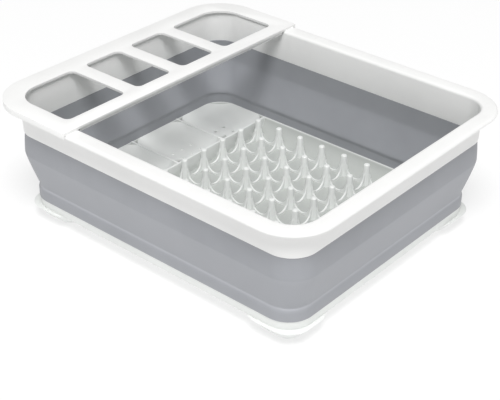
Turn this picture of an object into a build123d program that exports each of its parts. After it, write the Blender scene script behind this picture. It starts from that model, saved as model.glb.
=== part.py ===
from build123d import *
import os

# Collapsible dish drainer: a stiff rim frame and a stiff pronged tray joined by one soft folding wall,
# with a lift-off cutlery rack over one end of the rim.  Millimetres, +Z up, origin at the bottom centre
# between the feet, X along the long sides, the cutlery end at -X.

# ---- driving dimensions -------------------------------------------------------------------------
LENGTH = 370.0            # over the rim flange, along X
WIDTH = 316.0             # over the rim flange, along Y
HEIGHT = 127.0            # feet to the top of the flange, opened out
FOLD_TOP = 73.0           # where the folding band leaves the upper band
FOLD_BOTTOM = 37.5        # crease above the lower band
WALL_SEAT = 25.0          # top of the tray rim, where the soft wall is bonded on
WALL = 2.2                # thickness of the soft wall

# rim frame
FLANGE_THICK = 2.4
LIP_DEPTH = 3.6
LIP_THICK = 2.2
RIM_RADIUS = 42.5         # outer corner of the flange
WINDOW_INSET = 16.3       # flange edge to the main opening
WINDOW_RADIUS = 24.4
COLLAR_BOTTOM = 94.5      # lower edge of the collar
COLLAR_INSET = 15.0
COLLAR_RADIUS = 27.6
COLLAR_FLARE = 1.4        # how much the collar widens towards the flange
FLANGE_ROUND = 1.8        # outer edge of the flange
WINDOW_ROUND = 1.0        # inner edge of the flange

# tray
TRAY_INSET = 22.0         # rim flange edge to the outside of the tray rim
TRAY_RADIUS = 25.6
TRAY_RIM_BOTTOM = 16.0
FLOOR_TOP = 9.0
FLOOR_THICK = 2.2
FLOOR_INSET = 38.0        # where the sloping tray wall reaches the floor
FLOOR_RADIUS = 16.0

# prongs
PITCH = 28.35             # between prongs, both ways
PRONG_COUNT = 9           # in a row and in a column
PRONG_X_LAST = 141.0      # column nearest the plain end
PRONG_TIP = 32.5
PRONG_TIP_RADIUS = 2.7
PRONG_BASE_RADIUS = 3.9
PRONG_DOME = 1.4          # rounding of the tip
FIN_THICK = 1.6
FIN_LOW = 11.0            # lowest point of a scalloped fin, half way between prongs
FIN_HIGH = 21.0           # where a fin runs out on its prong
GUSSET_REACH = 8.0        # how far a fin stands above its rib, from the middle of the prong

# cutlery basins under the rack
BASIN_COUNT = 4
BASIN_WALL_X = -94.0
BASIN_WALL_THICK = 2.2
BASIN_TOP = 25.5
BASIN_FLOOR = 16.5
BASIN_RIB_THICK = 2.4
BASIN_SKIN = 2.0
HOLE_RADIUS = 1.6
HOLE_PITCH = 13.2

# feet
FOOT_INSET = 31.0
FOOT_RADIUS = 10.0        # at the ground
FOOT_TOP_RADIUS = 13.0
FOOT_TOP_INSET = 28.0
FOOT_LENGTH = 30.0        # along X at the ground
FOOT_WIDTH = 27.0         # along Y at the ground
FOOT_FLARE = 20.0         # how much longer each way at the top
FOOT_TOP = 16.0

# cutlery rack
RACK_THICK = 2.5
RACK_OVERHANG = 2.0
RACK_INNER_X = -76.5      # free edge of its bar
RACK_WINDOW_OUTER_X = -166.5
RACK_WINDOW_INNER_X = -93.0
RACK_RIB = 16.0
RACK_END_LENGTH = 72.0    # outer windows, along Y
RACK_MID_LENGTH = 44.5    # inner windows, along Y
RACK_CORNER = 26.0        # large corner of the outer windows
RACK_SMALL_CORNER = 6.0
RACK_SKIRT = 3.0          # skirt over the flange edge
RACK_LIP = 3.0            # depth of the stiffening lip under the bar
RACK_LIP_THICK = 1.6
RACK_LIP_INSET = 1.0      # bar edge to the lip
FIT = 0.3                 # clearance between rack and rim

os.makedirs("parts", exist_ok=True)


def section(inset, radius, z):
    """Rounded rectangle inset from the flange edge, at height z."""
    return Pos(0, 0, z) * RectangleRounded(LENGTH - 2 * inset, WIDTH - 2 * inset, radius)


def block(levels):
    """Solid through rounded rectangles, each given as (inset, radius, z)."""
    return loft([section(*level) for level in levels], ruled=True)


def ring(outer, inner):
    """Closed wall between an outer and an inner stack of levels."""
    return block(outer) - block(inner)


def save(part, node):
    part.label = node
    export_step(part, f"parts/{node}.step")


# ---- rim frame ----------------------------------------------------------------------------------
def rim_frame():
    lip_bottom = HEIGHT - LIP_DEPTH
    flange_bottom = HEIGHT - FLANGE_THICK
    flange = block([(0, RIM_RADIUS, lip_bottom), (0, RIM_RADIUS, HEIGHT)])
    flange = fillet(flange.edges().group_by(Axis.Z)[-1], FLANGE_ROUND)
    flange -= block([(LIP_THICK, RIM_RADIUS - LIP_THICK, lip_bottom),
                     (LIP_THICK, RIM_RADIUS - LIP_THICK, flange_bottom)])
    collar = block([(COLLAR_INSET, COLLAR_RADIUS, COLLAR_BOTTOM),
                    (COLLAR_INSET - COLLAR_FLARE, COLLAR_RADIUS + 0.8, flange_bottom)])
    opening = block([(WINDOW_INSET + 1.0, WINDOW_RADIUS, COLLAR_BOTTOM),
                     (WINDOW_INSET, WINDOW_RADIUS, HEIGHT)])
    frame = flange + collar - opening
    near = WINDOW_INSET - 2 * WINDOW_ROUND
    window_edges = [edge for edge in frame.edges().group_by(Axis.Z)[-1]
                    if abs(edge.center().X) < LENGTH / 2 - near and abs(edge.center().Y) < WIDTH / 2 - near]
    return fillet(window_edges, WINDOW_ROUND)


# ---- soft wall, in the three bands that move apart ------------------------------------------------
def band(levels):
    """Soft wall of even thickness whose outside runs through the levels."""
    inner = [(inset + WALL, radius - WALL, z) for inset, radius, z in levels]
    return ring(levels, inner)


def upper_wall_band():
    return band([(14.0, 27.6, FOLD_TOP), (14.0, 27.6, 78.0), (14.9, 27.6, 88.0), (14.9, 27.6, COLLAR_BOTTOM)])


def fold_band():
    return band([(22.7, 25.4, FOLD_BOTTOM), (19.0, 26.4, 49.0), (15.9, 27.2, 61.0), (14.0, 27.6, FOLD_TOP)])


def lower_wall_band():
    return band([(TRAY_INSET, TRAY_RADIUS, WALL_SEAT), (TRAY_INSET, TRAY_RADIUS, 34.0), (22.7, 25.4, FOLD_BOTTOM)])


# ---- tray -----------------------------------------------------------------------------------------
TRAY_RIM_LEVELS = [(TRAY_INSET, TRAY_RADIUS, WALL_SEAT), (TRAY_INSET + 0.4, TRAY_RADIUS, TRAY_RIM_BOTTOM)]
BOWL_LEVELS = [(TRAY_INSET + 4.0, 21.6, TRAY_RIM_BOTTOM), (FLOOR_INSET + 2.0, 14.0, FLOOR_TOP - FLOOR_THICK)]
HOLLOW_LEVELS = [(TRAY_INSET + WALL, TRAY_RADIUS - WALL, WALL_SEAT), (TRAY_INSET + 4.5, 21.0, 18.5),
                 (FLOOR_INSET, FLOOR_RADIUS, FLOOR_TOP)]


def tray_outside():
    return block(TRAY_RIM_LEVELS[::-1]) + block(BOWL_LEVELS[::-1])


def tray_hollow():
    return block(HOLLOW_LEVELS[::-1])


def base_tray():
    return tray_outside() - tray_hollow()


# ---- prongs -----------------------------------------------------------------------------------------
def prong_rows():
    """Y of every row of prongs, centred on the tray."""
    return [(row - (PRONG_COUNT - 1) / 2) * PITCH for row in range(PRONG_COUNT)]


def prong_columns():
    """X of every column of prongs, from the plain end back to the basin wall."""
    return [PRONG_X_LAST - column * PITCH for column in range(PRONG_COUNT)]


def prong_field():
    """Everything on the prong side of the basin wall."""
    basin_side = BASIN_WALL_X + BASIN_WALL_THICK / 2
    return Pos(basin_side + LENGTH / 2, 0, 0) * Box(LENGTH, WIDTH, 4 * PRONG_TIP)


def rib_grid(hollow):
    """Low crossing ribs on the tray floor, with a round boss under every prong."""
    height = FIN_LOW - FLOOR_TOP
    middle = FLOOR_TOP + height / 2
    reach = (PRONG_COUNT - 1) * PITCH + PITCH
    centre_x = sum(prong_columns()) / PRONG_COUNT
    ribs = [Pos(centre_x, y, middle) * Box(reach, FIN_THICK, height) for y in prong_rows()]
    ribs += [Pos(x, 0, middle) * Box(FIN_THICK, reach, height) for x in prong_columns()]
    bosses = [Pos(x, y, middle) * Cylinder(PRONG_BASE_RADIUS, height)
              for x in prong_columns() for y in prong_rows()]
    grid = ribs[0] + ribs[1:] + bosses
    return grid & hollow & prong_field()


def gusset():
    """Half of a scalloped fin beside its prong, above the rib it stands on."""
    root = PRONG_TIP_RADIUS
    run = PITCH / 2 - root
    rise = FIN_HIGH - FIN_LOW
    scallop = (run ** 2 + rise ** 2) / (2 * rise)
    fin = Pos(root / 2 + GUSSET_REACH / 2, 0, FIN_LOW + rise / 2) * Box(GUSSET_REACH - root, FIN_THICK, rise)
    cutter = Pos(PITCH / 2, 0, FIN_LOW + scallop) * Rot(90, 0, 0) * Cylinder(scallop, 2 * FIN_THICK)
    return fin - cutter


def prong():
    """One tapered peg with four scalloped gussets, standing on the rib grid at the origin."""
    height = PRONG_TIP - FIN_LOW
    peg = Pos(0, 0, FIN_LOW + height / 2) * Cone(PRONG_BASE_RADIUS, PRONG_TIP_RADIUS, height)
    peg = fillet(peg.edges().group_by(Axis.Z)[-1], PRONG_DOME)
    return peg + [Rot(0, 0, 90 * turn) * gusset() for turn in range(4)]


def prong_row(y, hollow):
    """One row of prongs along X, each its own solid."""
    single = prong()
    pieces = []
    for x in prong_columns():
        pieces += (Pos(x, y, 0) * single & hollow & prong_field()).solids()
    return Compound(children=pieces)


# ---- cutlery basins ---------------------------------------------------------------------------------
def basin_edges():
    """Y of the ribs between the basins and of the tray wall at each end."""
    half = WIDTH / 2 - TRAY_INSET - WALL
    return [half * (2 * index / BASIN_COUNT - 1) for index in range(BASIN_COUNT + 1)]


def basin_wall(hollow):
    height = BASIN_TOP - FLOOR_TOP
    wall = Pos(BASIN_WALL_X, 0, FLOOR_TOP + height / 2) * Box(BASIN_WALL_THICK, WIDTH, height)
    return wall & hollow


def basin_rib(y, hollow):
    height = BASIN_TOP - FLOOR_TOP
    inner_x = BASIN_WALL_X - BASIN_WALL_THICK / 2
    rib = Pos(inner_x - 50, y, FLOOR_TOP + height / 2) * Box(100, BASIN_RIB_THICK, height)
    return rib & hollow


def basin(index, hollow):
    """Raised basin floor between two ribs, with its drain holes."""
    edges = basin_edges()
    low = edges[index] + BASIN_RIB_THICK / 2
    high = edges[index + 1] - BASIN_RIB_THICK / 2
    inner_x = BASIN_WALL_X - BASIN_WALL_THICK / 2
    floor = Pos(inner_x - 50, (low + high) / 2, BASIN_FLOOR - BASIN_SKIN / 2) * Box(100, high - low, BASIN_SKIN)
    inward = -1 if index >= BASIN_COUNT / 2 else 1
    end_basin = index in (0, BASIN_COUNT - 1)
    hole_y = (low + high) / 2 + (inward * HOLE_PITCH if end_basin else 0)
    holes = [Pos(inner_x - 20 + dx * HOLE_PITCH / 2, hole_y + dy * HOLE_PITCH, BASIN_FLOOR)
             * Cylinder(HOLE_RADIUS, 4 * BASIN_SKIN) for dx in (-1, 1) for dy in (-1, 0, 1)]
    return (floor & hollow) - holes


# ---- feet -------------------------------------------------------------------------------------------
def foot(side_x, side_y, outside):
    """Corner foot, tapering to the ground, fitted under the tray."""
    def pad(inset, radius, grow, z):
        length = FOOT_LENGTH + grow
        width = FOOT_WIDTH + grow
        shape = RectangleRounded(length, width, radius)
        x = side_x * (LENGTH / 2 - inset - length / 2)
        y = side_y * (WIDTH / 2 - inset - width / 2)
        return Pos(x, y, z) * shape

    body = loft([pad(FOOT_INSET, FOOT_RADIUS, 0, 0), pad(FOOT_TOP_INSET, FOOT_TOP_RADIUS, FOOT_FLARE, FOOT_TOP)],
                ruled=True)
    return body - outside


# ---- cutlery rack -----------------------------------------------------------------------------------
def rack_windows():
    """Low and high Y of the four windows."""
    middle = RACK_RIB / 2
    inner = (middle, middle + RACK_MID_LENGTH)
    outer = (inner[1] + RACK_RIB, inner[1] + RACK_RIB + RACK_END_LENGTH)
    spans = [inner, outer]
    return sorted(spans + [(-high, -low) for low, high in spans])


def cutlery_rack():
    """Plate with four windows, resting on the flange, with a skirt and a lip under its free bar."""
    top = HEIGHT + RACK_THICK
    reach = 2 * RACK_OVERHANG
    outline = RectangleRounded(LENGTH + reach, WIDTH + reach, RIM_RADIUS + RACK_OVERHANG)
    keep = Pos((RACK_INNER_X - LENGTH) / 2, 0, HEIGHT) * Box(LENGTH + RACK_INNER_X, 2 * WIDTH, HEIGHT)
    plate = extrude(Pos(0, 0, HEIGHT) * outline, amount=RACK_THICK) & keep
    skirt_outer = extrude(Pos(0, 0, HEIGHT - RACK_SKIRT) * outline, amount=RACK_SKIRT)
    cleared = RectangleRounded(LENGTH + 2 * FIT, WIDTH + 2 * FIT, RIM_RADIUS + FIT)
    skirt_inner = extrude(Pos(0, 0, HEIGHT - RACK_SKIRT) * cleared, amount=RACK_SKIRT)
    skirt = (skirt_outer - skirt_inner) & keep
    bar_width = WIDTH - 2 * WINDOW_INSET - 4.0
    lip_x = RACK_INNER_X - RACK_LIP_INSET - RACK_LIP_THICK / 2
    lip = Pos(lip_x, 0, HEIGHT - RACK_LIP / 2) * Box(RACK_LIP_THICK, bar_width, RACK_LIP)
    rack = plate + skirt + lip
    for low, high in rack_windows():
        width = RACK_WINDOW_INNER_X - RACK_WINDOW_OUTER_X
        centre_x = (RACK_WINDOW_INNER_X + RACK_WINDOW_OUTER_X) / 2
        opening = Pos(centre_x, (low + high) / 2, HEIGHT) * Box(width, high - low, 20)
        outer_end = low if low < -RACK_END_LENGTH / 2 - RACK_MID_LENGTH / 2 else high
        for edge in opening.edges().filter_by(Axis.Z):
            at_outer_end = abs(edge.center().Y - outer_end) < 0.1 and high - low > RACK_MID_LENGTH + 1
            big = at_outer_end and edge.center().X < centre_x
            opening = fillet(nearest_edge(opening, edge), RACK_CORNER if big else RACK_SMALL_CORNER)
        rack -= opening
    return rack


def nearest_edge(solid, edge):
    """The upright edge of the solid that stands where the given edge stood."""
    uprights = solid.edges().filter_by(Axis.Z)
    return min(uprights, key=lambda one: (one.center() - edge.center()).length)


# ---- write every piece ---------------------------------------------------------------------------------
hollow_above = tray_hollow() + block([(TRAY_INSET + WALL + 0.3, TRAY_RADIUS - WALL, WALL_SEAT),
                                      (TRAY_INSET + WALL + 0.3, TRAY_RADIUS - WALL, PRONG_TIP + 5)])
outside = tray_outside()

save(rim_frame(), "rim_frame")
save(upper_wall_band(), "upper_wall_band")
save(fold_band(), "fold_band")
save(lower_wall_band(), "lower_wall_band")
save(base_tray(), "base_tray")
save(cutlery_rack(), "cutlery_rack")
save(basin_wall(hollow_above), "basin_wall")
for number, y in enumerate(basin_edges()[1:-1], start=1):
    save(basin_rib(y, hollow_above), f"basin_rib_{number}")
for number in range(BASIN_COUNT):
    save(basin(number, hollow_above), f"cutlery_basin_{number + 1}")
save(rib_grid(hollow_above), "prong_rib_grid")
for number, y in enumerate(prong_rows(), start=1):
    save(prong_row(y, hollow_above), f"prong_row_{number}")
for side_name, side_x in (("plain", 1), ("cutlery", -1)):
    for hand_name, side_y in (("front", -1), ("rear", 1)):
        save(foot(side_x, side_y, outside), f"foot_{hand_name}_{side_name}_end")
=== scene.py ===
import math

import bmesh
import bpy
from mathutils import Matrix, Vector
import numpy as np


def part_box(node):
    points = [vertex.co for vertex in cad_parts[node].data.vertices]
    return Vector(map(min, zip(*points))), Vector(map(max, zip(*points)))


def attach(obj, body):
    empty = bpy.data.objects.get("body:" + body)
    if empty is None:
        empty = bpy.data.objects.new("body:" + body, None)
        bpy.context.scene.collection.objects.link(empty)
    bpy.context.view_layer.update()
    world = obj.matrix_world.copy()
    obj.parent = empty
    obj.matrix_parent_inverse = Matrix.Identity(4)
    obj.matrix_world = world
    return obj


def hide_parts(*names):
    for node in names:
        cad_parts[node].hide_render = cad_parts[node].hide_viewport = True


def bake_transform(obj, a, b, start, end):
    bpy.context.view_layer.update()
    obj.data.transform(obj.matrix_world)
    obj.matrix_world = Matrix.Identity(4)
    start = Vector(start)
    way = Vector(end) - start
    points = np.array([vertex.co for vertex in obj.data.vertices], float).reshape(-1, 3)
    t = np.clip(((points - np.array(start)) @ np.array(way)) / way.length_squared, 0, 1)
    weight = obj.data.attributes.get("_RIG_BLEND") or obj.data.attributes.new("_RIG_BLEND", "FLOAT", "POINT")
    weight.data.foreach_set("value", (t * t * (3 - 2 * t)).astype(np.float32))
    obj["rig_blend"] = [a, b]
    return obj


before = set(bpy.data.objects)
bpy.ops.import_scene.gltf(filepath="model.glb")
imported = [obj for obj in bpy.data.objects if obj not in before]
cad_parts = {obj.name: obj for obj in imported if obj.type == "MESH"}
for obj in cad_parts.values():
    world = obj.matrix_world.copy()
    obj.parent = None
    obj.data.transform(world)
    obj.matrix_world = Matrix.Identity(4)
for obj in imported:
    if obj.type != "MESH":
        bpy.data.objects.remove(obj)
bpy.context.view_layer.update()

# Collapsible dish drainer.  A stiff white rim and a stiff pale tray are joined by one soft grey wall that
# rolls inside out when the rim is pressed down, and a white cutlery rack rests over one end of the rim.
# Metres, +Z up, the rack end at -X.  Insets are measured inwards from the outer edge of the flange.

MM = 0.001

# ---- sizes taken from the frame ----------------------------------------------------------------------
RIM_LOW, RIM_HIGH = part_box("rim_frame")
TRAY_LOW, TRAY_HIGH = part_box("base_tray")
FOLD_LOW, FOLD_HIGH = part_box("fold_band")
RACK_LOW, RACK_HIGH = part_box("cutlery_rack")
DIVIDER_LOW, DIVIDER_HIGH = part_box("basin_wall")
PRONG_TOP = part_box("prong_row_1")[1].z
HALF_LENGTH = RIM_HIGH.x
HALF_WIDTH = RIM_HIGH.y
RIM_TOP = RIM_HIGH.z
COLLAR_BOTTOM = RIM_LOW.z
FOLD_TOP = FOLD_HIGH.z
CREASE = FOLD_LOW.z
WALL_SEAT = TRAY_HIGH.z
TRAY_BOTTOM = TRAY_LOW.z

# ---- sizes shared by several pieces ------------------------------------------------------------------
CORNER_FACES = 14                 # faces round a quarter turn of a large corner
SMALL_CORNER_FACES = 6
SMOOTH_UNDER = math.radians(38)   # edges sharper than this stay crisp
WALL = 2.2 * MM                   # thickness of the soft wall
FLOOR_TOP = 9.0 * MM              # top of the tray's floor
RIB_ROOT = FLOOR_TOP - 0.4 * MM   # prongs, divider and ribs start just inside the floor
OVERLAP = 0.4 * MM                # how far a rib or fin reaches into the wall it grows from


# ---- small modelling tools ---------------------------------------------------------------------------
def choose(*pieces):
    """Selects only these pieces, the first one active."""
    bpy.ops.object.select_all(action="DESELECT")
    for piece in pieces:
        piece.select_set(True)
    bpy.context.view_layer.objects.active = pieces[0]


def edit(piece):
    """Opens a piece for editing with nothing selected in it."""
    choose(piece)
    bpy.ops.object.mode_set(mode="EDIT")
    bpy.ops.mesh.select_mode(type="VERT")
    bpy.ops.mesh.select_all(action="DESELECT")


def close():
    bpy.ops.object.mode_set(mode="OBJECT")


def pick(piece, kind, test):
    """In edit mode, selects just the vertices, edges or faces that pass the test."""
    bpy.ops.mesh.select_mode(type=kind)
    bpy.ops.mesh.select_all(action="DESELECT")
    mesh = bmesh.from_edit_mesh(piece.data)
    for part in {"VERT": mesh.verts, "EDGE": mesh.edges, "FACE": mesh.faces}[kind]:
        if test(part):
            part.select_set(True)
    bmesh.update_edit_mesh(piece.data)


def upright(edge):
    """True for an edge that runs straight up."""
    run = edge.verts[1].co - edge.verts[0].co
    return abs(run.z) > 1e-5 and Vector(run.xy).length < 1e-6


def middle(edge):
    return (edge.verts[0].co + edge.verts[1].co) / 2


def face_outwards():
    """In edit mode, merges doubles and turns every face outwards."""
    bpy.ops.mesh.select_mode(type="VERT")
    bpy.ops.mesh.select_all(action="SELECT")
    bpy.ops.mesh.remove_doubles(threshold=1e-6)
    bpy.ops.mesh.normals_make_consistent(inside=False)


def shape(piece, kind, **settings):
    """Adds a modifier with its settings and applies it."""
    choose(piece)
    modifier = piece.modifiers.new(kind.lower(), kind)
    for key, value in settings.items():
        setattr(modifier, key, value)
    bpy.ops.object.modifier_apply(modifier=modifier.name)


def cut(piece, cutter, operation="DIFFERENCE"):
    """Cuts, joins or trims a piece with another, which is then removed."""
    shape(piece, "BOOLEAN", object=cutter, operation=operation, solver="EXACT")
    bpy.data.objects.remove(cutter)


def copy_of(piece, name, offset=(0, 0, 0), turn=0.0):
    """A copy with its own mesh, turned about the upright axis and then moved."""
    twin = piece.copy()
    twin.data = piece.data.copy()
    twin.name = twin.data.name = name
    bpy.context.scene.collection.objects.link(twin)
    twin.data.transform(Matrix.Translation(offset) @ Matrix.Rotation(turn, 4, "Z"))
    return twin


def joined(name, pieces):
    """Several pieces made into one."""
    choose(*pieces)
    bpy.ops.object.join()
    piece = bpy.context.object
    piece.name = piece.data.name = name
    return piece


def empty_piece(name):
    """A piece with nothing in it yet, open for editing."""
    bpy.ops.object.select_all(action="DESELECT")
    bpy.ops.mesh.primitive_plane_add(size=1)
    piece = bpy.context.object
    piece.name = piece.data.name = name
    bpy.ops.object.mode_set(mode="EDIT")
    bpy.ops.mesh.select_mode(type="VERT")
    bpy.ops.mesh.delete(type="VERT")
    return piece


def first_outline(half_x, half_y, radius, centre, faces):
    """In edit mode, draws a rounded rectangle of edges, left selected, in a vertex group of its own."""
    bpy.ops.mesh.primitive_plane_add(size=2, location=centre)
    bpy.ops.transform.resize(value=(half_x, half_y, 1), center_override=centre)
    bpy.ops.mesh.bevel(offset=radius, segments=faces, affect="VERTICES", clamp_overlap=False)
    bpy.ops.object.vertex_group_assign_new()
    bpy.ops.mesh.delete(type="ONLY_FACE")
    bpy.ops.object.vertex_group_select()


def next_outline(piece, old, new):
    """Extrudes the selected outline and sets each of its four corners to the new size and place."""
    bpy.ops.mesh.extrude_region_move()
    bpy.ops.object.vertex_group_remove_from(use_all_groups=True)
    bpy.ops.object.vertex_group_assign_new()
    mesh = bmesh.from_edit_mesh(piece.data)
    ring = [vertex for vertex in mesh.verts if vertex.select]
    middle_of_old = Vector(old[3])
    sides = {vertex: (vertex.co.x > middle_of_old.x, vertex.co.y > middle_of_old.y) for vertex in ring}
    for corner in ((False, False), (False, True), (True, False), (True, True)):
        for vertex in ring:
            vertex.select = sides[vertex] == corner
        bmesh.update_edit_mesh(piece.data)
        pivots = []
        for half_x, half_y, radius, centre in (old, new):
            reach = Vector((half_x - radius, half_y - radius, 0))
            pivots.append(Vector(centre) + reach * Vector((2 * corner[0] - 1, 2 * corner[1] - 1, 0)))
        grow = new[2] / old[2]
        bpy.ops.transform.resize(value=(grow, grow, 1), center_override=pivots[0])
        bpy.ops.transform.translate(value=pivots[1] - pivots[0])
    for vertex in ring:
        vertex.select = True
    mesh.select_flush(True)
    bmesh.update_edit_mesh(piece.data)


def pick_outline(piece, number):
    """In edit mode, selects one drawn outline by its order."""
    bpy.ops.mesh.select_mode(type="VERT")
    bpy.ops.mesh.select_all(action="DESELECT")
    piece.vertex_groups.active_index = number
    bpy.ops.object.vertex_group_select()


def skin(name, outlines, closed=False, faces=CORNER_FACES):
    """Faces through a stack of rounded rectangles, closed on itself or capped at both ends.

    Each outline is half its length and width, its corner radius and its centre."""
    piece = empty_piece(name)
    first_outline(*outlines[0], faces)
    for old, new in zip(outlines, outlines[1:]):
        next_outline(piece, old, new)
    if closed:
        next_outline(piece, outlines[-1], outlines[0])
    else:
        for number in (0, len(outlines) - 1):
            pick_outline(piece, number)
            bpy.ops.mesh.edge_face_add()
    face_outwards()
    close()
    return piece


def around(inset, radius, z):
    """Outline that runs round the whole drainer, inset from the flange edge."""
    return HALF_LENGTH - inset, HALF_WIDTH - inset, radius, (0, 0, z)


def soften_outline(piece, number, width, segments):
    """Rounds the edge that runs along one outline."""
    edit(piece)
    pick_outline(piece, number)
    bpy.ops.mesh.bevel(offset=width, segments=segments, affect="EDGES")
    close()


def block(name, low, high):
    """Box between two corners, to be shaped further."""
    low, high = Vector(low), Vector(high)
    bpy.ops.object.select_all(action="DESELECT")
    bpy.ops.mesh.primitive_cube_add(size=1, location=(low + high) / 2)
    piece = bpy.context.object
    piece.name = piece.data.name = name
    piece.scale = high - low
    bpy.ops.object.transform_apply(location=True, rotation=True, scale=True)
    return piece


def round_uprights(piece, radius, test=lambda place: True, faces=CORNER_FACES):
    """Rounds the upright edges whose middle passes the test."""
    edit(piece)
    pick(piece, "EDGE", lambda edge: upright(edge) and test(middle(edge)))
    bpy.ops.mesh.bevel(offset=radius, segments=faces, affect="EDGES", clamp_overlap=False)
    close()


def settle(piece, body, slot, material, *nodes):
    """Smooths a finished piece, gives it its material and sets it on its body."""
    piece.vertex_groups.clear()
    choose(piece)
    bpy.ops.object.shade_smooth_by_angle(angle=SMOOTH_UNDER)
    piece.data.materials.clear()
    piece.data.materials.append(material)
    if body:
        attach(piece, body)
    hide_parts(*nodes)


# ---- materials ---------------------------------------------------------------------------------------
def linear(code):
    """Linear colour of an sRGB hex value."""
    parts = [int(code[i:i + 2], 16) / 255 for i in (1, 3, 5)]
    return [p / 12.92 if p <= 0.04045 else ((p + 0.055) / 1.055) ** 2.4 for p in parts] + [1]


def add_node(tree, kind, settings=None, links=None):
    """Adds a node, sets its properties and sockets, and links its inputs to other nodes' outputs."""
    node = tree.nodes.new(kind)
    for key, value in (settings or {}).items():
        if isinstance(key, str) and hasattr(node, key):
            setattr(node, key, value)
        else:
            node.inputs[key].default_value = value
    for key, output in (links or {}).items():
        tree.links.new(output, node.inputs[key])
    return node


def blank_material(name):
    material = bpy.data.materials.new(name)
    material.use_nodes = True
    material.node_tree.nodes.clear()
    return material, material.node_tree


DRIFT = 60 * MM                   # size of the slow changes of tone and gloss
GRAIN_HEIGHT = 0.03 * MM
GLOSS_DRIFT = 0.05


def moulded_plastic(name, light, shade, grain, rough, soft=0.0, attribute=None, mark=None):
    """Moulded surface: slow drift between two close tones, a fine grain from the tool, uneven gloss.

    grain is the spacing of the tool's grain.  A real one is about 0.1 mm and is drawn coarser here, so
    that it shows.  soft lets a little light through.  mark is a third tone, laid on where the mesh
    attribute says."""
    material, tree = blank_material(name)
    place = add_node(tree, "ShaderNodeTexCoord").outputs["Object"]
    drift = add_node(tree, "ShaderNodeTexNoise", {"Scale": 1 / DRIFT, "Detail": 3.0, "Roughness": 0.55},
                     {"Vector": place})
    tone = add_node(tree, "ShaderNodeValToRGB", links={"Fac": drift.outputs["Fac"]})
    for element, position, code in zip(tone.color_ramp.elements, (0.35, 0.65), (shade, light)):
        element.position = position
        element.color = linear(code)
    colour = tone.outputs["Color"]
    if attribute:
        marked = add_node(tree, "ShaderNodeAttribute", {"attribute_name": attribute})
        mixed = add_node(tree, "ShaderNodeMix", {"data_type": "RGBA", 7: linear(mark)},
                         {0: marked.outputs["Fac"], 6: colour})
        colour = mixed.outputs[2]
    tool_grain = add_node(tree, "ShaderNodeTexNoise", {"Scale": 1 / grain, "Detail": 2.0}, {"Vector": place})
    bump = add_node(tree, "ShaderNodeBump", {"Strength": 0.6, "Distance": GRAIN_HEIGHT},
                    {"Height": tool_grain.outputs["Fac"]})
    gloss = add_node(tree, "ShaderNodeMapRange", {"To Min": rough - GLOSS_DRIFT, "To Max": rough + GLOSS_DRIFT},
                     {"Value": drift.outputs["Fac"]})
    shader = add_node(tree, "ShaderNodeBsdfPrincipled",
                      {"IOR": 1.49, "Subsurface Weight": soft, "Subsurface Radius": (1, 1, 1),
                       "Subsurface Scale": 3 * MM},
                      {"Base Color": colour, "Roughness": gloss.outputs["Result"],
                       "Normal": bump.outputs["Normal"]})
    add_node(tree, "ShaderNodeOutputMaterial", links={"Surface": shader.outputs["BSDF"]})
    return material


# Polypropylene with white pigment, injection moulded: clean and opaque, with a soft sheen on rolled edges.
WHITE_PP = moulded_plastic("white_polypropylene_moulded", "#F4F4F3", "#F0F0EF", 1.6 * MM, 0.38)

# Polypropylene without pigment, injection moulded: milky, with light in its edges and prongs.  Painted shade:
# a greyer tone laid on the tray's floor and sloping sides, and faintly over the basins, where shade falls.
NATURAL_PP = moulded_plastic("natural_polypropylene_moulded", "#ECEEEC", "#E5E7E5", 1.6 * MM, 0.34,
                             soft=0.12, attribute="painted_shade", mark="#B9BCB9")

# Thermoplastic rubber, moulded onto both frames: a dull cool grey, whitened along the crease where it flexes,
# with painted light over the band that folds: paler there, as where it is lit.
SOFT_TPR = moulded_plastic("grey_thermoplastic_rubber_moulded", "#A0A2A7", "#9A9CA1", 1.2 * MM, 0.5,
                           attribute="crease_whitening_and_fold_light", mark="#B2B4B9")


# ---- rim ---------------------------------------------------------------------------------------------
FLANGE_THICK = 2.4 * MM
FLANGE_ROUND = 2.6 * MM           # roll along its outer edge
LIP_DEPTH = 3.6 * MM
LIP_THICK = 2.2 * MM
EDGE_ROUND = 0.5 * MM             # lower edges of the lip and the collar
LIP_INNER_ROUND = 0.4 * MM
THROAT_INSET = 16.3 * MM          # where the flange has turned down into the collar
THROAT_ROUND = 3.0 * MM
COLLAR_INNER_INSET = 17.2 * MM    # both sides of the collar's lower edge
COLLAR_OUTER_INSET = 15.0 * MM
COLLAR_ROOT_INSET = 13.6 * MM     # outside of the collar, under the flange
ROOT_ROUND = 1.2 * MM
RIM_CORNER = 42.5 * MM
NARROWING = 1.11                  # how fast the corners tighten inwards: over 1, the flange widens round them


def arc(inset, z, radius, first, last, steps=6):
    """Points of a section (inset, height) round a centre, between two angles in degrees."""
    angles = [math.radians(first + (last - first) * step / steps) for step in range(steps + 1)]
    return [(inset + radius * math.cos(angle), z + radius * math.sin(angle)) for angle in angles]


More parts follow.
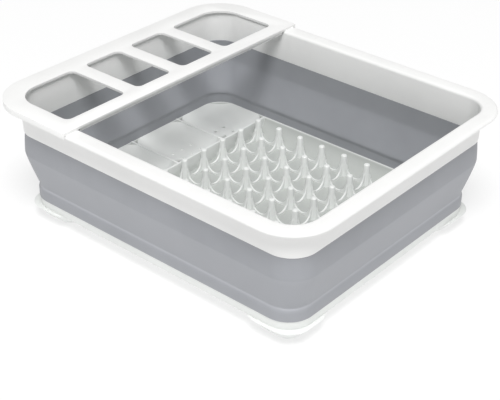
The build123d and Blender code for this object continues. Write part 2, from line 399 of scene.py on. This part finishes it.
def make_rim():
    """Flange with a turned-down lip outside and a deep collar inside, swept round the drainer."""
    under = RIM_TOP - FLANGE_THICK
    lip_end = RIM_TOP - LIP_DEPTH
    collar_end = COLLAR_BOTTOM + EDGE_ROUND
    section = arc(EDGE_ROUND, lip_end + EDGE_ROUND, EDGE_ROUND, 270, 180, 3)
    section += arc(FLANGE_ROUND, RIM_TOP - FLANGE_ROUND, FLANGE_ROUND, 180, 90)
    section += arc(THROAT_INSET - THROAT_ROUND, RIM_TOP - THROAT_ROUND, THROAT_ROUND, 90, 0)
    section += arc(COLLAR_INNER_INSET - EDGE_ROUND, collar_end, EDGE_ROUND, 0, -90, 3)
    section += arc(COLLAR_OUTER_INSET + EDGE_ROUND, collar_end, EDGE_ROUND, -90, -180, 3)
    section += arc(COLLAR_ROOT_INSET - ROOT_ROUND, under - ROOT_ROUND, ROOT_ROUND, 0, 90, 3)
    section += arc(LIP_THICK + LIP_INNER_ROUND, under - LIP_INNER_ROUND, LIP_INNER_ROUND, 90, 180, 2)
    section += arc(LIP_THICK - LIP_INNER_ROUND, lip_end + LIP_INNER_ROUND, LIP_INNER_ROUND, 0, -90, 2)
    outlines = [around(inset, RIM_CORNER - NARROWING * inset, z) for inset, z in section]
    rim = skin("rim", outlines, closed=True)
    settle(rim, "rim", "white_plastic", WHITE_PP, "rim_frame")


# ---- folding wall ------------------------------------------------------------------------------------
WALL_STEPS = 40                   # levels of mesh up the wall, for a smooth roll as it folds
CREASE_INSET = 22.9 * MM
CREASE_CORNER = 25.4 * MM
BULGE_INSET = 14.0 * MM           # widest level, at the top of the fold
BULGE_CORNER = 27.6 * MM
WALL_FOOT_INSET = 21.6 * MM       # where the wall stands on the tray
WALL_TOP_DRAW = 1.2 * MM          # how far the wall draws in again up to the collar
CREASE_LINE = 1.2 * MM            # half the height of the pale line along the crease
# painted light: how much paler the band that folds is made, as where it is lit
FOLD_PAINTED_LIGHT = 0.35


def wall_inset(z):
    """How far the outside of the soft wall stands in from the flange edge at a height."""
    if z >= FOLD_TOP:
        rise = (z - FOLD_TOP) / (COLLAR_BOTTOM - FOLD_TOP)
        return BULGE_INSET + WALL_TOP_DRAW * rise ** 1.6
    if z >= CREASE:
        rise = (z - CREASE) / (FOLD_TOP - CREASE)
        return BULGE_INSET + (CREASE_INSET - BULGE_INSET) * (1 - rise) ** 1.15
    drop = (CREASE - z) / (CREASE - WALL_SEAT)
    return WALL_FOOT_INSET + (CREASE_INSET - WALL_FOOT_INSET) * max(0.0, 1 - 3 * drop) ** 2


def wall_corner(z):
    """Corner radius of the outside of the soft wall, in plan."""
    drop = min(1.0, max(0.0, (FOLD_TOP - z) / (FOLD_TOP - CREASE)))
    return BULGE_CORNER - (BULGE_CORNER - CREASE_CORNER) * drop


def mark_crease_and_fold_light(wall):
    """Marks the outside of the wall: whitened along its crease, and painted light, fainter, over the band that
    folds.
    """
    crease_whitening_and_fold_light = wall.data.attributes.new("crease_whitening_and_fold_light", "FLOAT", "POINT")
    closing_outline = 2 * (WALL_STEPS + 1)
    for index, vertex in enumerate(wall.data.vertices):
        outline = vertex.groups[0].group
        on_outside = outline <= WALL_STEPS or outline == closing_outline
        near_crease = math.exp(-((vertex.co.z - CREASE) / CREASE_LINE) ** 2)
        # painted light: the band that folds is made paler all over, as where it is lit
        painted_fold_light = FOLD_PAINTED_LIGHT if CREASE < vertex.co.z < FOLD_TOP else 0.0
        crease_whitening_and_fold_light.data[index].value = max(near_crease, painted_fold_light) * on_outside


def make_wall():
    """One soft wall from the tray rim to the collar, thick all over, closed along both edges."""
    heights = [WALL_SEAT + (COLLAR_BOTTOM - WALL_SEAT) * step / WALL_STEPS for step in range(WALL_STEPS + 1)]
    outer = [around(wall_inset(z), wall_corner(z), z) for z in heights]
    inner = [around(wall_inset(z) + WALL, wall_corner(z) - WALL, z) for z in reversed(heights)]
    wall = skin("folding_wall", outer + inner, closed=True)
    mark_crease_and_fold_light(wall)
    settle(wall, None, "soft_wall", SOFT_TPR, "upper_wall_band", "fold_band", "lower_wall_band")
    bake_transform(wall, "base", "rim", start=(0, 0, CREASE), end=(0, 0, FOLD_TOP))


# ---- tray --------------------------------------------------------------------------------------------
# Each edge is its inset from the flange edge and its corner radius.
BAND_BOTTOM = 16.0 * MM           # height where the sloping underside meets the upright band
SHOULDER = 18.5 * MM              # height of the ledge that leads down into the bowl
BOTTOM_EDGE = (40 * MM, 14 * MM)
SLOPE_EDGE = (26 * MM, 21.6 * MM)
BAND_LOWER_EDGE = (22.4 * MM, 25.6 * MM)
BAND_UPPER_EDGE = (22 * MM, 25.6 * MM)
SEAT_EDGE = (24.2 * MM, 23.4 * MM)
SHOULDER_EDGE = (26.5 * MM, 21 * MM)
FLOOR_EDGE = (38 * MM, 16 * MM)
BEYOND_TRAY = (15 * MM, 25 * MM)
BAND_ROUND = 0.8 * MM
SHOULDER_ROUND = 5 * MM
OPEN_FLOOR_X = -142 * MM          # the floor's opening under the basins runs from here to the divider
OPEN_FLOOR_HALF_WIDTH = 116 * MM
OPEN_FLOOR_CORNER = 12 * MM


def paint_shade(piece, amount, test=lambda vertex: True):
    """Marks where shade is painted: a darker tone on the vertices that pass the test, in the given amount."""
    painted_shade = piece.data.attributes.new("painted_shade", "FLOAT", "POINT")
    for index, vertex in enumerate(piece.data.vertices):
        painted_shade.data[index].value = amount * test(vertex)


def inside_bowl(vertex):
    """True on the floor and sloping sides of the tray, seen from above."""
    inwards = vertex.normal.x * vertex.co.x + vertex.normal.y * vertex.co.y < 0
    between = FLOOR_TOP - 1 * MM < vertex.co.z < WALL_SEAT - 1 * MM
    return between and (inwards or vertex.normal.z > 0.4)


def open_floor():
    """Room to cut from the floor below the basins, so that light can come up through their drain holes."""
    near_x = DIVIDER_LOW.x - 1 * MM
    middle_x = (near_x + OPEN_FLOOR_X) / 2
    half_length = (near_x - OPEN_FLOOR_X) / 2
    return skin("open_floor", [(half_length, OPEN_FLOOR_HALF_WIDTH, OPEN_FLOOR_CORNER, (middle_x, 0, z))
                               for z in (0, FLOOR_TOP + 1 * MM)])


def make_tray():
    """Shallow bowl with a sloping underside and an upright band that the wall stands on."""
    outlines = [around(*BOTTOM_EDGE, TRAY_BOTTOM),
                around(*SLOPE_EDGE, BAND_BOTTOM),
                around(*BAND_LOWER_EDGE, BAND_BOTTOM),
                around(*BAND_UPPER_EDGE, WALL_SEAT),
                around(*SEAT_EDGE, WALL_SEAT),
                around(*SHOULDER_EDGE, SHOULDER),
                around(*FLOOR_EDGE, FLOOR_TOP)]
    tray = skin("tray", outlines)
    soften_outline(tray, 2, BAND_ROUND, 3)
    soften_outline(tray, 5, SHOULDER_ROUND, 4)
    cut(tray, open_floor())
    # painted shade: a greyer tone on the tray's floor and sloping sides, where shade falls
    paint_shade(tray, 1.0, inside_bowl)
    settle(tray, "base", "tray_plastic", NATURAL_PP, "base_tray")


def inside_of_tray():
    """The room inside the tray, a little larger so that what is trimmed by it reaches into the walls."""
    spare = 2 * OVERLAP
    levels = ((FLOOR_EDGE, FLOOR_TOP - spare), (SHOULDER_EDGE, SHOULDER), (SEAT_EDGE, WALL_SEAT),
              (SEAT_EDGE, 2 * WALL_SEAT))
    return skin("inside", [around(inset - spare, radius, z) for (inset, radius), z in levels])


def above_underside():
    """The tray's own solid and all above it, to trim what grows from its underside."""
    levels = ((BOTTOM_EDGE, TRAY_BOTTOM + OVERLAP), (SLOPE_EDGE, BAND_BOTTOM + OVERLAP),
              (BEYOND_TRAY, BAND_BOTTOM + OVERLAP), (BEYOND_TRAY, 2 * WALL_SEAT))
    return skin("above", [around(*edge, z) for edge, z in levels])


# ---- feet --------------------------------------------------------------------------------------------
# Height and half-width of a foot in millimetres, from the ground up.
FOOT_LEVELS = ((0.0, 13.5), (1.2, 15.6), (4.0, 18.2), (8.0, 21.4), (12.0, 25.0), (16.5, 29.0))
FOOT_EXTRA_LENGTH = 1.5 * MM      # half its length less half its width
FOOT_ROUNDNESS = 0.72             # corner radius as a share of half its width
FOOT_CORNER_FACES = 10


def make_feet():
    """Rounded corner feet that grow out of the tray's underside."""
    for end in ("plain", "cutlery"):
        for hand in ("front", "rear"):
            node = f"foot_{hand}_{end}_end"
            low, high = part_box(node)
            centre = (low + high) / 2
            outlines = []
            for z, half_width in FOOT_LEVELS:
                half = half_width * MM
                outlines.append((half + FOOT_EXTRA_LENGTH, half, FOOT_ROUNDNESS * half,
                                 (centre.x, centre.y, z * MM)))
            foot = skin(f"{hand}_{end}_foot", outlines, faces=FOOT_CORNER_FACES)
            cut(foot, above_underside())
            settle(foot, "base", "tray_plastic", NATURAL_PP, node)


# ---- prongs ------------------------------------------------------------------------------------------
PITCH = 28.35 * MM                # between prongs, both ways
PRONGS = 9                        # in a row and in a column
LAST_COLUMN = 141.0 * MM          # X of the prongs nearest the plain end
PEG_ROOT_RADIUS = 4.0 * MM
PEG_TIP_RADIUS = 3.1 * MM
PEG_FACES = 20
TIP_ROUND = 1.5 * MM
FIN_THICK = 1.8 * MM
FIN_END_INSET = 36.5 * MM         # where the outermost fins meet the tray wall
FIN_HIGH = 23.0 * MM              # where a fin has run out on its prong
FIN_SHOULDER = 3.5 * MM           # half its length there
SCALLOP = 9.4 * MM                # radius of the hollow between two prongs
SCALLOP_LOW = 10.4 * MM           # its lowest point
SCALLOP_FACES = 32


def make_fin():
    """Upright fin along X, as long as the pitch, with half a round scallop on each side of its prong."""
    half = PITCH / 2
    centre = Vector((half, 0, SCALLOP_LOW + SCALLOP))
    bpy.ops.object.select_all(action="DESELECT")
    bpy.ops.mesh.primitive_circle_add(vertices=SCALLOP_FACES, radius=SCALLOP, location=centre,
                                      rotation=(math.pi / 2, 0, 0))
    bpy.ops.object.transform_apply(location=True, rotation=True, scale=True)
    fin = bpy.context.object
    edit(fin)
    pick(fin, "VERT", lambda v: v.co.x > half + 1e-6 or v.co.z > centre.z + 1e-6)
    bpy.ops.mesh.delete(type="VERT")
    start = centre - Vector((SCALLOP, 0, 0))
    pick(fin, "VERT", lambda v: (v.co - start).length < 1e-5)
    for x in (FIN_SHOULDER, 0):
        corner = Vector((x, 0, FIN_HIGH))
        bpy.ops.mesh.extrude_region_move(TRANSFORM_OT_translate={"value": corner - start})
        start = corner
    bpy.ops.mesh.select_all(action="SELECT")
    bpy.ops.mesh.extrude_region_move(TRANSFORM_OT_translate={"value": (0, 0, 0)})
    bpy.ops.transform.resize(value=(1, 1, 0), center_override=(0, 0, RIB_ROOT))
    close()
    shape(fin, "MIRROR", use_axis=(True, False, False), merge_threshold=1e-5)
    edit(fin)
    face_outwards()
    close()
    shape(fin, "SOLIDIFY", thickness=FIN_THICK, offset=0.0)
    return fin


def make_prong():
    """A tapered peg with a domed tip and four scalloped fins, at the origin."""
    bpy.ops.object.select_all(action="DESELECT")
    bpy.ops.mesh.primitive_cone_add(vertices=PEG_FACES, radius1=PEG_ROOT_RADIUS, radius2=PEG_TIP_RADIUS,
                                    depth=PRONG_TOP - RIB_ROOT, location=(0, 0, (PRONG_TOP + RIB_ROOT) / 2))
    bpy.ops.object.transform_apply(location=True, rotation=True, scale=True)
    peg = bpy.context.object
    edit(peg)
    pick(peg, "FACE", lambda face: face.normal.z > 0.9)
    bpy.ops.mesh.bevel(offset=TIP_ROUND, segments=4, affect="EDGES")
    close()
    fin = make_fin()
    cross = copy_of(fin, "cross_fin", turn=math.pi / 2)
    cut(fin, cross, "UNION")
    cut(peg, fin, "UNION")
    peg.name = peg.data.name = "prong"
    return peg


def trim(piece, place, outwards):
    """Cuts off what stands beyond an upright plane and closes the cut."""
    edit(piece)
    bpy.ops.mesh.select_all(action="SELECT")
    bpy.ops.mesh.bisect(plane_co=place, plane_no=outwards, clear_outer=True, use_fill=True)
    close()


def merge_seams(line):
    """Takes out the faces where one prong's fin meets the next one's, and joins the fins there."""
    seams = [LAST_COLUMN - (column + 0.5) * PITCH for column in range(PRONGS - 1)]
    edit(line)
    pick(line, "FACE", lambda face: abs(face.normal.x) > 0.99 and any(
        all(abs(vertex.co.x - seam) < 1e-5 for vertex in face.verts) for seam in seams))
    bpy.ops.mesh.delete(type="FACE")
    face_outwards()
    close()


def make_prongs():
    """Nine rows of prongs, their outermost fins trimmed where they run into the tray wall."""
    prong = make_prong()
    reach_y = HALF_WIDTH - FIN_END_INSET
    for row in range(PRONGS):
        y = (row - (PRONGS - 1) / 2) * PITCH
        pegs = [copy_of(prong, f"peg_{column}", (LAST_COLUMN - column * PITCH, y, 0))
                for column in range(PRONGS)]
        trim(pegs[0], (HALF_LENGTH - FIN_END_INSET, 0, 0), (1, 0, 0))
        trim(pegs[-1], (DIVIDER_HIGH.x - OVERLAP, 0, 0), (-1, 0, 0))
        if row in (0, PRONGS - 1):
            for peg in pegs:
                trim(peg, (0, math.copysign(reach_y, y), 0), (0, math.copysign(1, y), 0))
        line = joined(f"prongs_{row + 1}", pegs)
        merge_seams(line)
        settle(line, "base", "tray_plastic", NATURAL_PP, f"prong_row_{row + 1}", "prong_rib_grid")
    bpy.data.objects.remove(prong)


# ---- divider, ridges and cutlery basins --------------------------------------------------------------
RIDGE_ROUND = 0.8 * MM
BASIN_RINGS = 8
BASIN_CORNER = 12 * MM
BASIN_SKIN = 1.0 * MM
BASIN_EDGE_DROP = 0.6 * MM        # from the divider's top down to the edges of the basins
BASIN_BOTTOM_HALF = (11.5 * MM, 18 * MM)
# painted shade: a faint greyer tone over the whole of each basin
BASIN_PAINTED_SHADE = 0.15
HOLE_RADIUS = 1.6 * MM
HOLE_PITCH = 13.2 * MM
HOLE_SETBACK = 20 * MM            # from the divider to the middle of the holes
HOLE_FACES = 16


def settle_ridge(ridge, node):
    """Trims a ridge to the tray, rounds it along the top and finishes it."""
    cut(ridge, inside_of_tray(), "INTERSECT")
    shape(ridge, "BEVEL", width=RIDGE_ROUND, segments=3, limit_method="ANGLE", angle_limit=SMOOTH_UNDER)
    settle(ridge, "base", "tray_plastic", NATURAL_PP, node)


def make_divider():
    """Wall between the prongs and the cutlery basins."""
    settle_ridge(block("divider", (DIVIDER_LOW.x, -HALF_WIDTH, RIB_ROOT), DIVIDER_HIGH), "basin_wall")


def make_ribs():
    """Ridges between neighbouring basins."""
    for number in (1, 2, 3):
        low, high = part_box(f"basin_rib_{number}")
        settle_ridge(block(f"rib_{number}", (-HALF_LENGTH, low.y, RIB_ROOT), high), f"basin_rib_{number}")


def hole_centre(number):
    """Middle of one basin's six drain holes, moved inwards in the two end basins."""
    low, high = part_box(f"cutlery_basin_{number}")
    shift = {1: HOLE_PITCH, 4: -HOLE_PITCH}.get(number, 0)
    return high.x - HOLE_SETBACK, (low.y + high.y) / 2 + shift


def drill(basin, number):
    """Six drain holes in the bottom of a basin, in two lines of three."""
    x, y = hole_centre(number)
    for side in (-0.5, 0.5):
        for step in (-1, 0, 1):
            place = (x + side * HOLE_PITCH, y + step * HOLE_PITCH, FLOOR_TOP)
            bpy.ops.object.select_all(action="DESELECT")
            bpy.ops.mesh.primitive_cylinder_add(vertices=HOLE_FACES, radius=HOLE_RADIUS, depth=60 * MM,
                                                location=place)
            cut(basin, bpy.context.object)


def make_basins():
    """Scooped basins: each slopes in from its ridges to a flat bottom with six drain holes by the divider."""
    top = DIVIDER_HIGH.z - BASIN_EDGE_DROP
    end_y = HALF_WIDTH - BAND_UPPER_EDGE[0] - WALL
    far_x = -(HALF_LENGTH - BAND_UPPER_EDGE[0] - WALL)
    for number in range(1, 5):
        low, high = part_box(f"cutlery_basin_{number}")
        near_x = high.x + OVERLAP
        low_y = -end_y if number == 1 else low.y - OVERLAP
        high_y = end_y if number == 4 else high.y + OVERLAP
        edge_half = ((near_x - far_x) / 2, (high_y - low_y) / 2)
        edge_place = ((near_x + far_x) / 2, (low_y + high_y) / 2)
        upper, under = [], []
        for ring in range(BASIN_RINGS + 1):
            share = ring / BASIN_RINGS
            lift = 0.35 * share + 0.65 * share ** 2.6     # gentle near the bottom, steep up to the ridges
            size = [a + (b - a) * share for a, b in zip(BASIN_BOTTOM_HALF, edge_half)]
            x, y = [a + (b - a) * share for a, b in zip(hole_centre(number), edge_place)]
            z = high.z + (top - high.z) * lift
            radius = BASIN_CORNER * (0.6 + 0.4 * share)
            upper.append((*size, radius, (x, y, z)))
            under.append((*size, radius, (x, y, z - BASIN_SKIN)))
        basin = skin(f"basin_{number}", upper + under[::-1], faces=SMALL_CORNER_FACES)
        cut(basin, inside_of_tray(), "INTERSECT")
        drill(basin, number)
        # painted shade, faint, over the whole basin
        paint_shade(basin, BASIN_PAINTED_SHADE)
        settle(basin, "base", "tray_plastic", NATURAL_PP, f"cutlery_basin_{number}")


# ---- cutlery rack ------------------------------------------------------------------------------------
RACK_OVERHANG = 2 * MM            # how far the skirt stands out over the flange edge
RACK_SKIRT = 3 * MM
RACK_CORNER = 44.5 * MM
RACK_CLEARANCE = 0.3 * MM
RACK_ROOM_CORNER = 42.8 * MM
RACK_ROUND = 0.6 * MM
LIP_SETBACK = (2.6 * MM, 1.0 * MM)    # both faces of the lip, back from the edge of the free bar
LIP_END_INSET = 18.3 * MM
WINDOW_FAR_X = -166.5 * MM
WINDOW_NEAR_X = -93 * MM
WINDOW_SPANS = ((8 * MM, 52.5 * MM), (68.5 * MM, 140.5 * MM))    # the same on both sides of the middle
WINDOW_CORNER = 6 * MM
WINDOW_OUTER_CORNER = 26 * MM     # the one that follows the corner of the rack
WINDOW_OUTER_FROM = 130 * MM


def close_to(value, *targets):
    return any(abs(value - target) < 0.1 * MM for target in targets)


def window_in_rack(low, high, side):
    """Block that cuts one window."""
    ends = sorted((side * low, side * high))
    window = block("window", (WINDOW_FAR_X, ends[0], RIM_TOP - 20 * MM),
                   (WINDOW_NEAR_X, ends[1], RIM_TOP + 20 * MM))
    round_uprights(window, WINDOW_OUTER_CORNER,
                   lambda place: place.x < WINDOW_FAR_X + 1 * MM and abs(place.y) > WINDOW_OUTER_FROM)
    round_uprights(window, WINDOW_CORNER,
                   lambda place: close_to(place.x, WINDOW_FAR_X, WINDOW_NEAR_X) and close_to(
                       abs(place.y), low, high), SMALL_CORNER_FACES)
    return window


def make_rack():
    """Flat plate with four windows, a skirt over the flange edge and a lip under its free bar."""
    bar = RACK_HIGH.x

    def at_far_end(place):
        return place.x < bar - 20 * MM

    rack = block("rack", (RACK_LOW.x, -HALF_WIDTH - RACK_OVERHANG, RIM_TOP - RACK_SKIRT), RACK_HIGH)
    round_uprights(rack, RACK_CORNER, at_far_end)
    room_y = HALF_WIDTH + RACK_CLEARANCE
    room = block("room", (-HALF_LENGTH - RACK_CLEARANCE, -room_y, RIM_TOP - 10 * MM),
                 (bar + 20 * MM, room_y, RIM_TOP))
    round_uprights(room, RACK_ROOM_CORNER, at_far_end)
    cut(rack, room)
    lip_y = HALF_WIDTH - LIP_END_INSET
    lip = block("lip", (bar - LIP_SETBACK[0], -lip_y, RIM_TOP - RACK_SKIRT),
                (bar - LIP_SETBACK[1], lip_y, RIM_TOP + 1 * MM))
    cut(rack, lip, "UNION")
    for low, high in WINDOW_SPANS:
        for side in (-1, 1):
            cut(rack, window_in_rack(low, high, side))
    shape(rack, "BEVEL", width=RACK_ROUND, segments=3, limit_method="ANGLE", angle_limit=math.radians(40))
    settle(rack, "rack", "white_plastic", WHITE_PP, "cutlery_rack")


# ---- floor, light and camera -------------------------------------------------------------------------
FLOOR_GLOW = 0.62                 # the floor is evenly lit from below, like a pale light table
WORLD_STRENGTH = 0.42
KEY_PLACE = (1.6, -1.92, 4.5)
KEY_AIM = (0, 0, 0.1)
KEY_SIZE = 2.2
KEY_POWER = 215
CAMERA_AZIMUTH = math.radians(40.46)
CAMERA_HEIGHT = math.radians(31.67)
CAMERA_ROLL = math.radians(0.55)
CAMERA_PLACE = (0.64435, -0.75511, 0.63232)
CAMERA_LENS = 87.09
CAMERA_SENSOR = 36


def make_floor():
    """Plain pale floor, dull and glowing slightly so that the shade on it stays faint."""
    bpy.ops.object.select_all(action="DESELECT")
    bpy.ops.mesh.primitive_plane_add(size=12, location=(0, 0, 0))
    floor = bpy.context.object
    floor.name = "floor"
    material, tree = blank_material("pale_floor")
    shader = add_node(tree, "ShaderNodeBsdfPrincipled",
                      {"Base Color": linear("#A0A0A0"), "Roughness": 0.9,
                       "Emission Color": linear("#FFFFFF"), "Emission Strength": FLOOR_GLOW})
    add_node(tree, "ShaderNodeOutputMaterial", links={"Surface": shader.outputs["BSDF"]})
    floor.data.materials.append(material)


def make_light():
    """White surroundings and one wide lamp, high up on the camera's side."""
    world = bpy.data.worlds.new("studio")
    bpy.context.scene.world = world
    world.use_nodes = True
    background = world.node_tree.nodes["Background"]
    background.inputs["Color"].default_value = linear("#FFFFFF")
    background.inputs["Strength"].default_value = WORLD_STRENGTH
    data = bpy.data.lights.new("key_lamp", "AREA")
    data.shape = "DISK"
    data.size = KEY_SIZE
    data.energy = KEY_POWER
    lamp = bpy.data.objects.new("key_lamp", data)
    bpy.context.scene.collection.objects.link(lamp)
    lamp.location = KEY_PLACE
    lamp.rotation_euler = (Vector(KEY_AIM) - Vector(KEY_PLACE)).to_track_quat("-Z", "Y").to_euler()


def make_camera():
    """Camera above the front corner, turned and tilted by its angles and rolled a little."""
    data = bpy.data.cameras.new("camera")
    data.sensor_width = CAMERA_SENSOR
    data.lens = CAMERA_LENS
    camera = bpy.data.objects.new("camera", data)
    bpy.context.scene.collection.objects.link(camera)
    bpy.context.scene.camera = camera
    a, e, roll = CAMERA_AZIMUTH, CAMERA_HEIGHT, CAMERA_ROLL
    back = Vector((math.sin(a) * math.cos(e), -math.cos(a) * math.cos(e), math.sin(e)))
    level = Vector((math.cos(a), math.sin(a), 0))
    above = back.cross(level)
    right = level * math.cos(roll) + above * math.sin(roll)
    up = above * math.cos(roll) - level * math.sin(roll)
    turn = Matrix((right, up, back)).transposed().to_4x4()
    camera.matrix_world = Matrix.Translation(CAMERA_PLACE) @ turn


make_rim()
make_wall()
make_tray()
make_feet()
make_prongs()
make_divider()
make_ribs()
make_basins()
make_rack()
make_floor()
make_light()
make_camera()
bpy.context.scene.view_settings.view_transform = "Standard"
